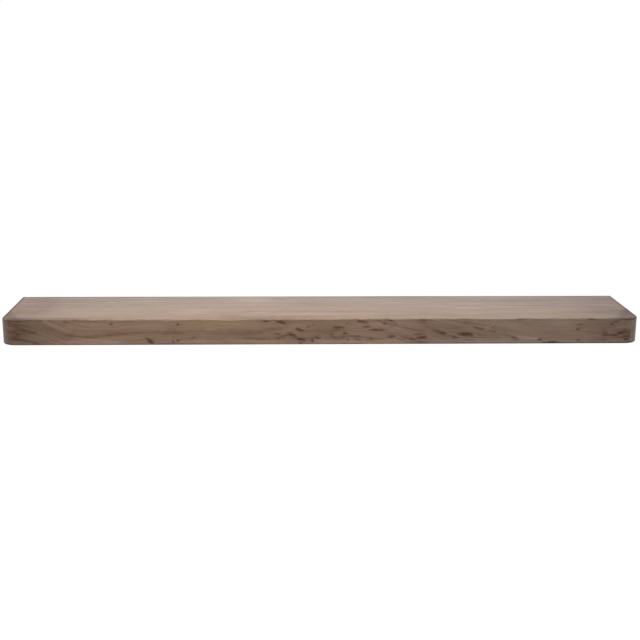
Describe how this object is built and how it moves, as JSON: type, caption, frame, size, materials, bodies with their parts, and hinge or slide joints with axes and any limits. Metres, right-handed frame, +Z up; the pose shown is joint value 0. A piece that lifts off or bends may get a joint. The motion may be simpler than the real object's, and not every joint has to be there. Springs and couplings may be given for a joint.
{
  "type": "floating wall shelf",
  "caption": "Thick hollow wooden wall shelf with rounded front corners that slides over a concealed steel bracket with welded rods.",
  "frame": {"origin": "centre of the wall plate's back face, on the wall", "axes": "+X along the shelf to the right as seen from the room, -Y out of the wall to the front face, +Z up"},
  "size_m": [1.5, 0.25, 0.06],
  "materials": {
    "acacia": "satin",
    "core_wood": "sawn",
    "dowel_wood": "sawn",
    "insert_metal": "yellow zinc",
    "screw_steel": "zinc plated",
    "bracket_steel": "matt powder coat"
  },
  "bodies": {
    "wall_bracket": {"wall_plate": "bracket_steel", "rod_1": "bracket_steel", "rod_2": "bracket_steel", "rod_3": "bracket_steel", "rod_4": "bracket_steel", "rod_5": "bracket_steel", "rod_welds": "bracket_steel"},
    "shelf": {"front_rail": "acacia", "top_panel": "acacia", "bottom_panel": "acacia", "left_end_board": "acacia", "right_end_board": "acacia", "rear_rail": "core_wood", "middle_rail": "core_wood", "cross_rib_1": "core_wood", "cross_rib_2": "core_wood", "cross_rib_3": "core_wood", "cross_rib_4": "core_wood", "cross_rib_5": "core_wood", "cross_rib_6": "core_wood", "frame_dowels": "dowel_wood", "lock_inserts": "insert_metal", "lock_screws": "screw_steel"}
  },
  "joints": [
    {"name": "shelf_slide", "type": "slide", "parent": "wall_bracket", "child": "shelf", "axis": [0, -1, 0], "range_m": [0, 0.2]}
  ]
}
